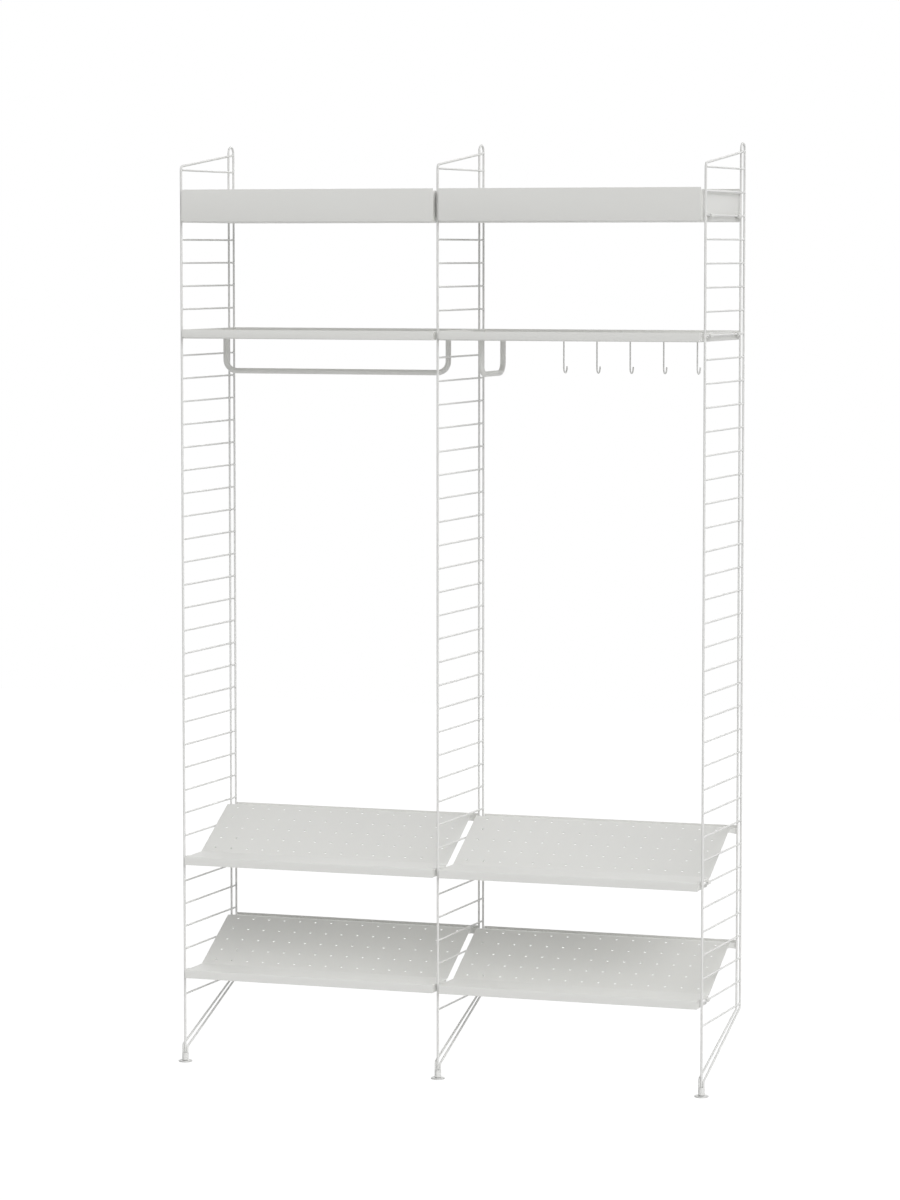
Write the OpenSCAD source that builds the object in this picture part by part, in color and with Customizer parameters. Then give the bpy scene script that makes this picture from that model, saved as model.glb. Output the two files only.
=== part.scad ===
// Hallway shelf: three wire ladder panels, two bays of folded steel trays and
// tilted shoe shelves, two clothes rails and five swivelling coat hooks.
// Z is up, X runs along the wall and +Y points to the wall.

/* [Bays] */
// Distance between the centre planes of two neighbouring panels
bay_w = 590; // [400:10:780]
// Free space from a panel's centre plane to the end of a shelf
end_space = 6; // [6:0.5:8]

/* [Ladder panels] */
// Distance between two rungs
rung_pitch = 50; // [46:1:60]
// Number of rungs in a panel
rung_count = 37; // [36:1:44]
// Height of the lowest rung's centre above the floor
lowest_rung_h = 150; // [130:5:180]
// Depth from the front wire's centre to the rearmost wire's centre
panel_d = 295; // [290:1:330]
// Distance between the two legs of the rear hairpin
hairpin_gap = 28; // [24:1:32]
// Thickness of the front wire
front_wire_d = 5; // [4:0.5:6]
// Thickness of the rear hairpin's wire
rear_wire_d = 4.5; // [4:0.5:5.5]
// Thickness of a rung
rung_d = 4; // [3:0.5:4.5]
// Height of the front corner above the top rung
corner_rise = 8; // [6:1:14]
// Rise of the sloping top wire from the front corner to the rear wire
top_wire_rise = 30; // [20:1:34]
// Bend radius of the front corner
corner_r = 9; // [8:0.5:12]
// Height of the hairpin's crown above the top rung
crown_rise = 55; // [54:1:70]
// Height of the knee where the front leg of the hairpin turns down to the foot
knee_h = 38; // [34:1:44]
// Height between the knees of the two hairpin legs
knee_step = 5; // [3:0.5:6]
// Drop from the lowest rung to the upper bend of the hairpin's front leg
bend_drop = 7; // [7:0.5:10]
// How much lower the rear leg's upper bend is than the front leg's
leg_bend_step = 1.7; // [0:0.1:8]
// Centre line radius of the bends in the hairpin's legs
leg_bend_r = 7; // [5:0.5:7]

/* [Feet] */
// Diameter of the foot disc
foot_disc_d = 30; // [24:1:36]
// Thickness of the foot disc
foot_disc_t = 3; // [2:0.5:4]
// Diameter of the foot's threaded stem
foot_stem_d = 8; // [6:0.5:9]
// Diameter of the sleeve welded under the wires
sleeve_d = 14; // [13:0.5:16]
// Thread that the sleeve still holds when the foot is screwed right out
thread_hold = 5.2; // [4:0.1:7]
// Free height between the foot disc and the sleeve
foot_gap = 0.8; // [0.5:0.1:1.5]
// Distance that the foot can be screwed out
foot_travel = 10; // [6:1:10]

/* [Folded shelves] */
// Sheet thickness
sheet_t = 1.2; // [1:0.1:1.6]
// Free space from a shelf's back to the rearmost wire's centre
rear_gap = 9; // [7:0.5:12]
// How far a shelf's front stands out from the front wire's centre
front_out = 14; // [10:1:20]
// Drop from a rung's centre to the underside of a tray that hangs on it
tray_drop = 13; // [12:0.5:16]
// Height of a high tray's front lip
high_lip = 71; // [40:1:90]
// Height of a low tray's front lip
low_lip = 19.5; // [18.5:0.5:30]
// How much lower the end lips of a high tray are than its front lip
end_lip_step = 4.5; // [2:0.5:8]
// Width of the fold on top of a high tray's end lips
end_fold = 5; // [4:0.5:8]
// Inside radius of the folds
fold_r = 1.5; // [1:0.25:2.5]

/* [Hanging lugs] */
// Width of a lug
lug_w = 20; // [14:1:22]
// Reach of a lug past the panel's centre plane
lug_over = 4; // [3.8:0.1:4.6]
// Depth of a lug's turned-down tip
lug_tip = 7; // [5:0.5:8]
// Height of the window that a lug is cut from
lug_window_h = 7; // [5:0.5:8]
// Middle of the front lugs on the right ends, behind the front wire
front_lug_y = 40; // [38:1:44]
// Middle of the rear lugs on the right ends, in front of the hairpin
rear_lug_back = 15; // [14:1:20]
// Offset between the lugs on the left and the right ends
lug_stagger = 26; // [24:1:26]

/* [Shoe shelves] */
// Height of the flat front part above the rung
toe_rise = 5.5; // [5:0.25:8]
// Height of the front lip
toe_lip = 18; // [16:0.5:24]
// Depth of the flat front part
toe_d = 93; // [70:1:110]
// Height of the crest above the front rung
crest_rise = 92; // [84:1:94]
// Depth of the heel behind the crest
heel_d = 54; // [48:1:60]
// Drop from the crest to the rear edge
heel_drop = 8; // [4:0.5:12]
// Height of the lip along the rear edge
heel_lip = 6; // [4:0.5:9]
// Depth of the folded end flanges under the heel
heel_flange = 13; // [10:0.5:15]
// Run of the heel's end flanges down the slope, in front of the crest
heel_flange_run = 15; // [12:1:20]
// Inside radius of the soft fold behind the flat front part
toe_fold_r = 10; // [6:1:16]
// Diameter of a hole in the slope
hole_d = 5; // [3:0.5:7]
// Distance between two holes, both ways
hole_pitch = 37.2; // [30:0.1:45]
// Distance from the soft fold to the first row of holes
hole_start = 16; // [14:1:20]

/* [Rails] */
// Outside diameter of the rail tube
rail_d = 12; // [10:0.5:14]
// Wall of the rail tube
rail_wall = 1.2; // [1:0.1:1.5]
// Centre line radius of the rail's bends
rail_bend_r = 25; // [20:1:30]
// Drop from the tray's underside to the bar's centre
rail_drop = 73.5; // [60:0.5:90]
// Distance from a panel to the nearest leg of the hanging rail
hanging_rail_inset = 35; // [25:1:60]
// Hanging rail, distance behind the front wire
hanging_rail_y = 165; // [120:1:180]
// Distance between the legs of the side rail
side_rail_w = 143; // [100:1:160]
// Middle of the side rail, distance behind the front wire
side_rail_y = 134; // [120:1:140]
// Distance from the middle panel to the side rail
side_rail_x = 76; // [40:1:100]
// Length of the threaded plug in each end of a rail
plug_len = 16; // [12:1:20]
// Thread diameter of the rail screws
screw_d = 5; // [4:0.5:6]
// Length of a rail screw under its head
screw_len = 14; // [10:1:15]
// Diameter of a rail screw's head
screw_head_d = 10; // [9:0.5:12]
// Height of a rail screw's head
screw_head_h = 2.6; // [2:0.2:4]

/* [Coat hooks] */
// Number of hooks
hook_count = 5; // [1:1:5]
// Distance between two hooks
hook_pitch = 74.6; // [60:0.2:76]
// Hook row, distance behind the front wire
hook_row_y = 187; // [160:1:220]
// Thickness of the hook wire
hook_wire_d = 3.2; // [2.5:0.1:4]
// Distance from the tray's underside to the bottom of a hook's bend
hook_drop = 73.5; // [50:0.5:80]
// Centre line radius of a hook's bend
hook_bend_r = 11; // [8:0.5:14]
// Length of the straight tip past a hook's bend
hook_tip = 1.3; // [0.5:0.1:12]
// Diameter of the head that rests in the tray
hook_head_d = 10; // [8:0.5:12]
// Thickness of the head
hook_head_t = 1.6; // [1:0.2:2.4]

/* [Clearances] */
// Free height between a lug and its rung
seat_clear = 0.3; // [0.2:0.05:0.5]
// Free space round a hook's shank and round the foot's stem
turn_clear = 0.3; // [0.2:0.05:0.5]
// Free space round the plugs and the screws
fit_clear = 0.05; // [0.03:0.01:0.1]

/* [Hidden] */
$fn = 64;
// Overrun of every cut
cut = 1;
// Straight pieces in one fold of a sheet
fold_steps = 4;
// How much thicker a bend is than its wire
bend_swell = 0.06;
// How far a wire's straights run into its bends
bend_lap = 0.4;
// Columns of holes that a shoe shelf could hold on each side of its middle
hole_side = floor((bay_w / 2 - end_space - hole_pitch / 2) / hole_pitch);

// Panel values
top_rung_z = lowest_rung_h + (rung_count - 1) * rung_pitch;
mid_wire_y = panel_d - hairpin_gap;
crown_r = hairpin_gap / 2;
crown_z = top_rung_z + crown_rise;
sleeve_z = foot_disc_t + foot_gap;
sleeve_h = foot_travel + thread_hold + foot_gap;
wire_foot_z = sleeve_z + sleeve_h;
leg_x = (front_wire_d + rear_wire_d) / 2;
leg_bend_z = lowest_rung_h - bend_drop;

// Whole object, front to back
front_y = -max(front_out, foot_disc_d / 2);
back_y = panel_d + rear_wire_d / 2;
mid_y = (front_y + back_y) / 2;

// Shelf values
shelf_len = bay_w - 2 * end_space;
shelf_back_y = panel_d - rear_gap;
shelf_d = front_out + shelf_back_y;
crest_d = shelf_d - heel_d;
hanging_rail_w = bay_w - 2 * hanging_rail_inset;
rear_lug_y = mid_wire_y - rear_lug_back;
lug_reach = end_space + lug_over;
lug_z = rung_d / 2 + seat_clear;
slope_run = crest_d - toe_d;
slope_rise = crest_rise - toe_rise;
slope_angle = atan(slope_rise / slope_run);
slope_len = norm([slope_run, slope_rise]);
hole_rows = floor((slope_len - hole_start - hole_d) / hole_pitch) + 1;

// Rungs that the shelves hang on, counted down from the top rung
high_tray_rung = 2;
low_tray_rung = 7;
upper_shoe_rung = 30;
lower_shoe_rung = 35;
// Rungs from a shoe shelf's front rung up to its rear rung
shoe_rung_step = 2;

panel_names = ["left", "middle", "right"];

function rung_z(k) = top_rung_z - k * rung_pitch;
function panel_x(i) = (i - 1) * bay_w;
function bay_x(side) = side * bay_w / 2;

// Vector helpers
function unit(v) = v / norm(v);
function left_of(v) = [-v[1], v[0]];
function turned(v, a) = [v[0] * cos(a) - v[1] * sin(a), v[0] * sin(a) + v[1] * cos(a)];
function turn_angle(u, w) = atan2(u[0] * w[1] - u[1] * w[0], u * w);
function between(u, w) = acos(max(-1, min(1, u * w)));

// Length that a bend of radius r takes from each of its two straights
function bend_take(u, w, r) = r * tan(between(u, w) / 2);

// One side of a folded sheet's outline: side is 1 for the left and -1 for the right
function fold_points(p, i, r, t, side) =
    let (
        u = unit(p[i] - p[i - 1]),
        w = unit(p[i + 1] - p[i]),
        a = turn_angle(u, w),
        s = sign(a),
        rc = r + t / 2,
        c = p[i] - u * rc * tan(abs(a) / 2) + s * rc * left_of(u)
    )
    [for (k = [0 : fold_steps]) c - s * (rc - s * side * t / 2) * turned(left_of(u), a * k / fold_steps)];

function side_points(p, r, t, side) =
    let (
        n = len(p) - 1,
        u = unit(p[1] - p[0]),
        w = unit(p[n] - p[n - 1])
    )
    concat(
        [p[0] + side * t / 2 * left_of(u)],
        [for (i = [1 : n - 1]) each fold_points(p, i, r[i], t, side)],
        [p[n] + side * t / 2 * left_of(w)]
    );

function reversed(q) = [for (i = [len(q) - 1 : -1 : 0]) q[i]];

// Outline of a sheet of thickness t that follows the points p, with inside radius r[i] at point i
function sheet_outline(p, r, t) = concat(side_points(p, r, t, 1), reversed(side_points(p, r, t, -1)));

// Turns an outline drawn in Y and Z into a solid that runs along X from x
module along_x(x, length) {
    translate([x, 0, 0]) rotate([90, 0, 90]) linear_extrude(height = length) children();
}

// A straight round wire from p to q
module rod(p, q, d) {
    v = q - p;
    translate(p) rotate([0, acos(v[2] / norm(v)), atan2(v[1], v[0])]) cylinder(h = norm(v), d = d);
}

// A round bend at the corner c between the directions u and w
module elbow(c, u, w, r, d) {
    inward = unit(w - u * (u * w));
    centre = c - u * bend_take(u, w, r) + inward * r;
    ax = -inward;
    az = cross(ax, u);
    multmatrix([
        [ax[0], u[0], az[0], centre[0]],
        [ax[1], u[1], az[1], centre[1]],
        [ax[2], u[2], az[2], centre[2]],
        [0, 0, 0, 1]
    ]) rotate_extrude(angle = between(u, w)) translate([r, 0]) circle(d = d + bend_swell);
}

// A bent round wire through the points p, with centre line radius r[i] at point i.
// Its straights run a little way into its bends, which are a hair thicker.
module bent_wire(p, r, d) {
    n = len(p) - 1;
    function dir(i) = unit(p[i + 1] - p[i]);
    function take(i) = (i == 0 || i == n) ? 0 : bend_take(dir(i - 1), dir(i), r[i]) - bend_lap;
    for (i = [0 : n - 1]) rod(p[i] + dir(i) * take(i), p[i + 1] - dir(i) * take(i + 1), d);
    for (i = [1 : n - 1]) elbow(p[i], dir(i - 1), dir(i), r[i], d);
}

// Puts a panel's part at its place
module at_panel(i) {
    translate([panel_x(i), -mid_y, 0]) children();
}

// Puts a shelf's part at its bay and rung
module at_rung(side, k) {
    translate([bay_x(side), -mid_y, rung_z(k)]) children();
}

// Upright stretches of the hairpin beside the rungs, used to cope what meets them
module rear_legs(z0, z1) {
    for (y = [mid_wire_y, panel_d]) translate([0, y, z0]) cylinder(h = z1 - z0, d = rear_wire_d);
}

module front_wire(i) {
    corner = [0, 0, top_rung_z + corner_rise];
    end = [0, panel_d, corner[2] + top_wire_rise];
    color("gainsboro") at_panel(i) difference() {
        bent_wire([[0, 0, wire_foot_z], corner, end], [0, corner_r, 0], front_wire_d);
        rear_legs(corner[2], crown_z - crown_r);
        translate([-front_wire_d, panel_d, corner[2]])
            cube([2 * front_wire_d, front_wire_d, crown_rise]);
    }
}

module rear_hairpin(i) {
    loop_z = crown_z - crown_r;
    rear_bend_z = leg_bend_z - leg_bend_step;
    front_leg = [[-leg_x, 0, wire_foot_z], [-leg_x, 0, knee_h], [0, mid_wire_y, leg_bend_z],
        [0, mid_wire_y, loop_z + bend_lap]];
    rear_leg = [[leg_x, 0, wire_foot_z], [leg_x, 0, knee_h - knee_step],
        [0, panel_d, rear_bend_z], [0, panel_d, loop_z + bend_lap]];
    color("gainsboro") at_panel(i) {
        bent_wire(front_leg, [0, leg_bend_r, leg_bend_r, 0], rear_wire_d);
        bent_wire(rear_leg, [0, leg_bend_r, leg_bend_r, 0], rear_wire_d);
        translate([0, panel_d - crown_r, loop_z]) rotate([90, 0, 90])
            rotate_extrude(angle = 180) translate([crown_r, 0]) circle(d = rear_wire_d + bend_swell);
    }
}

module rungs(i) {
    color("gainsboro") at_panel(i)
        for (k = [0 : rung_count - 1])
            translate([0, 0, rung_z(k)]) difference() {
                rotate([-90, 0, 0]) cylinder(h = panel_d, d = rung_d);
                translate([0, 0, -rung_d]) cylinder(h = 2 * rung_d, d = front_wire_d);
                rear_legs(-rung_d, rung_d);
            }
}

module foot_sleeve(i) {
    color("gainsboro") at_panel(i) translate([0, 0, sleeve_z]) difference() {
        cylinder(h = sleeve_h, d = sleeve_d);
        translate([0, 0, -cut]) cylinder(h = sleeve_h + 2 * cut, d = foot_stem_d + 2 * turn_clear);
    }
}

module levelling_foot(i) {
    color("silver") at_panel(i) {
        cylinder(h = foot_disc_t, d = foot_disc_d);
        cylinder(h = wire_foot_z - foot_gap, d = foot_stem_d);
    }
}

// A lug lanced from an end lip: it runs out over the rung, with a turned-down tip.
// It is drawn for a right end, whose outer face is at X = 0 and rung at Z = 0.
module lug() {
    translate([-sheet_t, -lug_w / 2, lug_z]) cube([lug_reach + sheet_t, lug_w, sheet_t]);
    translate([lug_reach - sheet_t, -lug_w / 2, lug_z + sheet_t - lug_tip])
        cube([sheet_t, lug_w, lug_tip]);
}

module lug_window() {
    translate([-sheet_t - cut, -lug_w / 2, lug_z - lug_window_h])
        cube([sheet_t + 2 * cut, lug_w, lug_window_h]);
}

// Runs its child at the front lugs of both ends. The left end's is moved by shift.
module at_front_lugs(shift) {
    for (end = [0, 1])
        mirror([end, 0, 0]) translate([shelf_len / 2, front_lug_y + end * shift, 0]) children();
}

// The same at the rear lugs, which can sit some rungs higher
module at_rear_lugs(rungs_up) {
    for (end = [0, 1])
        mirror([end, 0, 0])
            translate([shelf_len / 2, rear_lug_y - end * lug_stagger, rungs_up * rung_pitch]) children();
}

module at_tray_lugs() {
    at_front_lugs(lug_stagger) children();
    at_rear_lugs(0) children();
}

// A tray folded from one sheet, drawn about the middle of its bay with its rung at Z = 0
module tray(lip, end_top, fold) {
    z0 = -tray_drop;
    y0 = -front_out;
    y1 = shelf_back_y;
    h = sheet_t / 2;
    path = [[y0 + h, z0 + lip], [y0 + h, z0 + h], [y1 - h, z0 + h], [y1 - h, z0 + lip]];
    radii = [0, fold_r, fold_r, 0];
    difference() {
        union() {
            along_x(-shelf_len / 2, shelf_len) polygon(sheet_outline(path, radii, sheet_t));
            for (x = [-shelf_len / 2, shelf_len / 2 - sheet_t])
                along_x(x, sheet_t) intersection() {
                    polygon(side_points(path, radii, sheet_t, -1));
                    translate([y0, z0]) square([shelf_d, end_top - z0]);
                }
            if (fold > 0)
                for (x = [-shelf_len / 2, shelf_len / 2 - fold])
                    translate([x, y0 + h, end_top - sheet_t]) cube([fold, shelf_d - sheet_t, sheet_t]);
            at_tray_lugs() lug();
        }
        at_tray_lugs() lug_window();
    }
}

module high_tray(side) {
    color("whitesmoke") at_rung(side, high_tray_rung)
        tray(high_lip, high_lip - tray_drop - end_lip_step, end_fold);
}

module low_tray(side) {
    floor_top = sheet_t - tray_drop;
    color("whitesmoke") at_rung(side, low_tray_rung) difference() {
        tray(low_lip, low_lip - tray_drop, 0);
        for (x = hook_xs())
            translate([x, hook_row_y, -tray_drop - cut])
                cylinder(h = sheet_t + 2 * cut, d = hook_wire_d + 2 * turn_clear);
        for (p = rail_feet(side))
            translate([p[0], p[1], -tray_drop - cut])
                cylinder(h = sheet_t + 2 * cut, d = screw_d + 2 * fit_clear);
    }
}

// Hook places along a bay, measured from its middle
function hook_xs() = [for (i = [0 : hook_count - 1]) (i - 1) * hook_pitch];

// Places of a rail's two legs, measured from the bay's middle and the front wire
function rail_feet(side) =
    side < 0
    ? [for (s = [-1, 1]) [s * hanging_rail_w / 2, hanging_rail_y]]
    : [for (s = [-1, 1]) [side_rail_x - bay_w / 2, side_rail_y + s * side_rail_w / 2]];

// A shoe shelf folded from one perforated sheet, with its front rung at Z = 0
module shoe_shelf(side, k) {
    h = sheet_t / 2;
    y0 = -front_out;
    y1 = shelf_back_y;
    fold_y = y0 + toe_d;
    crest_y = y0 + crest_d;
    heel_z = crest_rise - heel_drop;
    path = [
        [y0 + h, toe_rise - toe_lip], [y0 + h, toe_rise - h], [fold_y, toe_rise - h],
        [crest_y, crest_rise - h], [y1 - h, heel_z - h], [y1 - h, heel_z + heel_lip]
    ];
    radii = [0, fold_r, toe_fold_r, fold_r, fold_r, 0];
    // Places where the end flanges meet the slope
    toe_flange_y = fold_y - (toe_lip - toe_rise) / 2;
    heel_front_y = crest_y - heel_flange_run;
    color("whitesmoke") at_rung(side, k) difference() {
        union() {
            along_x(-shelf_len / 2, shelf_len) polygon(sheet_outline(path, radii, sheet_t));
            for (x = [-shelf_len / 2, shelf_len / 2 - sheet_t]) {
                along_x(x, sheet_t) polygon([
                    [y0 + h, toe_rise - h], [y0 + h, toe_rise - toe_lip + sheet_t],
                    [toe_flange_y - toe_lip, toe_rise - toe_lip + sheet_t],
                    [toe_flange_y, toe_rise - h]
                ]);
                along_x(x, sheet_t) polygon([
                    [heel_front_y, crest_rise - heel_flange_run * tan(slope_angle) - h],
                    [y1 - h, heel_z - heel_flange], [y1 - h, heel_z - h],
                    [crest_y, crest_rise - h]
                ]);
            }
            at_front_lugs(-lug_stagger) lug();
            at_rear_lugs(shoe_rung_step) lug();
            at_rear_lugs(shoe_rung_step) ear();
        }
        at_front_lugs(-lug_stagger) lug_window();
        slope_holes(fold_y);
    }
}

// Upright ear that carries a shoe shelf's rear lug up over its rung
module ear() {
    base = crest_rise - heel_drop - heel_flange / 2 - shoe_rung_step * rung_pitch;
    translate([-sheet_t, -lug_w / 2, base]) cube([sheet_t, lug_w, lug_z + sheet_t - base]);
}

module slope_holes(fold_y) {
    translate([0, fold_y, toe_rise]) rotate([slope_angle, 0, 0])
        for (c = [-hole_side : hole_side], r = [0 : hole_rows - 1])
            translate([c * hole_pitch, hole_start + r * hole_pitch, -sheet_t - cut])
                cylinder(h = sheet_t + 2 * cut, d = hole_d);
}

// The U that a rail follows under its tray, with legs that run on by over at the top
module rail_path(side, d, over = 0) {
    f = rail_feet(side);
    top = over - tray_drop;
    low = -tray_drop - rail_drop;
    bent_wire(
        [[f[0][0], f[0][1], top], [f[0][0], f[0][1], low], [f[1][0], f[1][1], low],
            [f[1][0], f[1][1], top]],
        [0, rail_bend_r, rail_bend_r, 0], d
    );
}

module rail(side) {
    color("lightgray") at_rung(side, low_tray_rung) difference() {
        rail_path(side, rail_d);
        rail_path(side, rail_d - 2 * rail_wall, cut);
    }
}

module rail_plugs(side) {
    color("silver") at_rung(side, low_tray_rung)
        for (p = rail_feet(side))
            translate([p[0], p[1], -tray_drop - plug_len]) difference() {
                cylinder(h = plug_len, d = rail_d - 2 * rail_wall - 2 * fit_clear);
                translate([0, 0, -cut]) cylinder(h = plug_len + 2 * cut, d = screw_d + 2 * fit_clear);
            }
}

module rail_screws(side) {
    color("silver") at_rung(side, low_tray_rung)
        for (p = rail_feet(side))
            translate([p[0], p[1], sheet_t - tray_drop]) {
                cylinder(h = screw_head_h, d = screw_head_d);
                translate([0, 0, -screw_len]) cylinder(h = screw_len, d = screw_d);
            }
}

// A hook that drops through a hole of the right low tray and can swivel in it
module coat_hook(i) {
    low = -tray_drop - hook_drop + hook_bend_r + hook_wire_d / 2;
    color("gainsboro") at_rung(1, low_tray_rung) translate([hook_xs()[i], hook_row_y, 0]) {
        translate([0, 0, sheet_t - tray_drop]) cylinder(h = hook_head_t, d = hook_head_d);
        translate([0, 0, low - bend_lap])
            cylinder(h = sheet_t - tray_drop - low + bend_lap, d = hook_wire_d);
        translate([0, hook_bend_r, low]) rotate([90, 0, 90]) rotate([0, 0, 180])
            rotate_extrude(angle = 180) translate([hook_bend_r, 0])
                circle(d = hook_wire_d + bend_swell);
        translate([0, 2 * hook_bend_r, low]) {
            translate([0, 0, -bend_lap]) cylinder(h = hook_tip + bend_lap, d = hook_wire_d);
            translate([0, 0, hook_tip]) sphere(d = hook_wire_d);
        }
    }
}

for (i = [0 : 2]) {
    front_wire(i);
    rear_hairpin(i);
    rungs(i);
    foot_sleeve(i);
    levelling_foot(i);
}
high_tray(-1);  // high_tray_left
high_tray(1);  // high_tray_right
low_tray(-1);  // low_tray_left
low_tray(1);  // low_tray_right
shoe_shelf(-1, upper_shoe_rung);  // shoe_shelf_upper_left
shoe_shelf(1, upper_shoe_rung);  // shoe_shelf_upper_right
shoe_shelf(-1, lower_shoe_rung);  // shoe_shelf_lower_left
shoe_shelf(1, lower_shoe_rung);  // shoe_shelf_lower_right
rail(-1);  // hanging_rail
rail_plugs(-1);  // hanging_rail_plugs
rail_screws(-1);  // hanging_rail_screws
rail(1);  // side_rail
rail_plugs(1);  // side_rail_plugs
rail_screws(1);  // side_rail_screws
for (i = [0 : hook_count - 1])
    coat_hook(i);
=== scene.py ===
# A hallway shelf: three wire ladder panels that carry folded steel trays, tilted
# shoe shelves, two clothes rails and five swivelling coat hooks.

import math

import bmesh
import bpy
from bpy.props import FloatProperty, FloatVectorProperty, IntProperty, PointerProperty
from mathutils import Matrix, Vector


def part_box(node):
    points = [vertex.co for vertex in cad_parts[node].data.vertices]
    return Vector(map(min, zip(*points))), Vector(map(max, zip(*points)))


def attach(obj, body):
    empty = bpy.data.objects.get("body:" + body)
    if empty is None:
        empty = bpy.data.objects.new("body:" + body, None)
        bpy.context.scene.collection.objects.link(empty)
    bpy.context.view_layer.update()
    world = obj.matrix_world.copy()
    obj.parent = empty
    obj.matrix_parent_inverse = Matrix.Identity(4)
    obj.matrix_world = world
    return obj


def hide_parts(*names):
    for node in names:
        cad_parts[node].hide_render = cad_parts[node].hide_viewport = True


bl_info = {
    "name": "Hallway Shelf",
    "version": (1, 0, 0),
    "blender": (4, 5, 0),
    "location": "View3D > Sidebar > Hallway",
    "description": "Dresses a hallway shelf of wire ladder panels, folded trays and tilted shoe shelves",
    "category": "Object",
}

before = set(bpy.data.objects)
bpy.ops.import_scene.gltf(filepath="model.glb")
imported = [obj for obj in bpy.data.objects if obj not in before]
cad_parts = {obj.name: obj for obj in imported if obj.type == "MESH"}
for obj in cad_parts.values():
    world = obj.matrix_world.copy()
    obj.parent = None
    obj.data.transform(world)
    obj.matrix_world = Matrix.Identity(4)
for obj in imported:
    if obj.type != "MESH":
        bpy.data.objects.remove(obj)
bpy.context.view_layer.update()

# Rungs that the shelves hang on, counted down from the top one
HIGH_TRAY_RUNG, LOW_TRAY_RUNG, UPPER_SHOE_RUNG, LOWER_SHOE_RUNG = 2, 7, 30, 35
SHOE_SHELF_RUNGS = 2  # from a shoe shelf's front lugs up to its rear ones
HAIR = 0.00001  # doubles nearer than this are merged
CORNER_GAP = 0.0002  # between two flanges that meet at a corner
LUG_FOLD = 0.0012
EAR_HEIGHT = 0.01
DRILL_LENGTH = 0.006
THREAD_PITCH, THREAD_DEPTH = 0.00125, 0.0005
WELD_REACH, WELD_TAPER = 0.0016, 0.0012


def middle(node):
    """The middle of a CAD node's box."""
    low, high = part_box(node)
    return (Vector(low) + Vector(high)) / 2


WIRE_LINE = middle("left_levelling_foot").y
SPACING = -middle("left_levelling_foot").x
PANELS = {"left": -SPACING, "middle": 0.0, "right": SPACING}
BAYS = {"left": -SPACING / 2, "right": SPACING / 2}


def length(name, description, default):
    """A size that a user can change, in metres."""
    return FloatProperty(name=name, description=description, default=default, unit="LENGTH", precision=4)


def level(name, description, default):
    """A strength of light that a user can change."""
    return FloatProperty(name=name, description=description, default=default, min=0.0)


def colour(name, description, default):
    """A colour that a user can change."""
    return FloatVectorProperty(
        name=name, description=description, default=default, size=4, min=0.0, max=1.0, subtype="COLOR"
    )


class PanelSizes(bpy.types.PropertyGroup):
    """Sizes of the wire ladder panels and their feet."""

    rung_pitch: length("Rung pitch", "Height from one rung to the next", 0.05)
    rung_count: IntProperty(name="Rungs", description="Number of rungs in a panel", default=37, min=2)
    lowest_rung: length("Lowest rung", "Height of the lowest rung above the floor", 0.15)
    depth: length("Depth", "From the front wire to the rearmost wire", 0.295)
    loop_gap: length("Loop gap", "Between the two legs of the rear hairpin", 0.028)
    front_wire: length("Front wire", "Thickness of the front wire", 0.005)
    rear_wire: length("Rear wire", "Thickness of the rear hairpin's wire", 0.0045)
    rung_wire: length("Rung wire", "Thickness of a rung", 0.004)
    corner_rise: length("Corner rise", "Height of the front corner above the top rung", 0.008)
    top_rise: length("Top wire rise", "Rise of the sloping top wire towards the wall", 0.03)
    corner_radius: length("Corner radius", "Bend radius of the front corner", 0.009)
    crown_rise: length("Crown rise", "Height of the hairpin's crown above the top rung", 0.055)
    knee: length("Knee height", "Where the hairpin's front leg turns down to the foot", 0.038)
    knee_step: length("Knee step", "Height between the knees of the two legs", 0.005)
    bend_drop: length("Bend drop", "From the lowest rung to the front leg's upper bend", 0.007)
    bend_step: length("Bend step", "How much lower the rear leg's upper bend is", 0.0017)
    leg_radius: length("Leg bend radius", "Bend radius in the hairpin's legs", 0.007)
    wire_foot: length("Wire foot", "Height at which the wires stand on the sleeve", 0.0198)
    sleeve: length("Sleeve width", "Diameter of the sleeve under the wires", 0.014)
    sleeve_bore: length("Sleeve bore", "Diameter of the sleeve's threaded bore", 0.0086)
    sleeve_height: length("Sleeve height", "Height of the sleeve", 0.016)
    disc: length("Foot disc", "Diameter of the foot disc", 0.03)
    disc_height: length("Foot disc height", "Thickness of the foot disc", 0.003)
    stem: length("Foot stem", "Diameter of the foot's threaded stem", 0.008)


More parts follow.
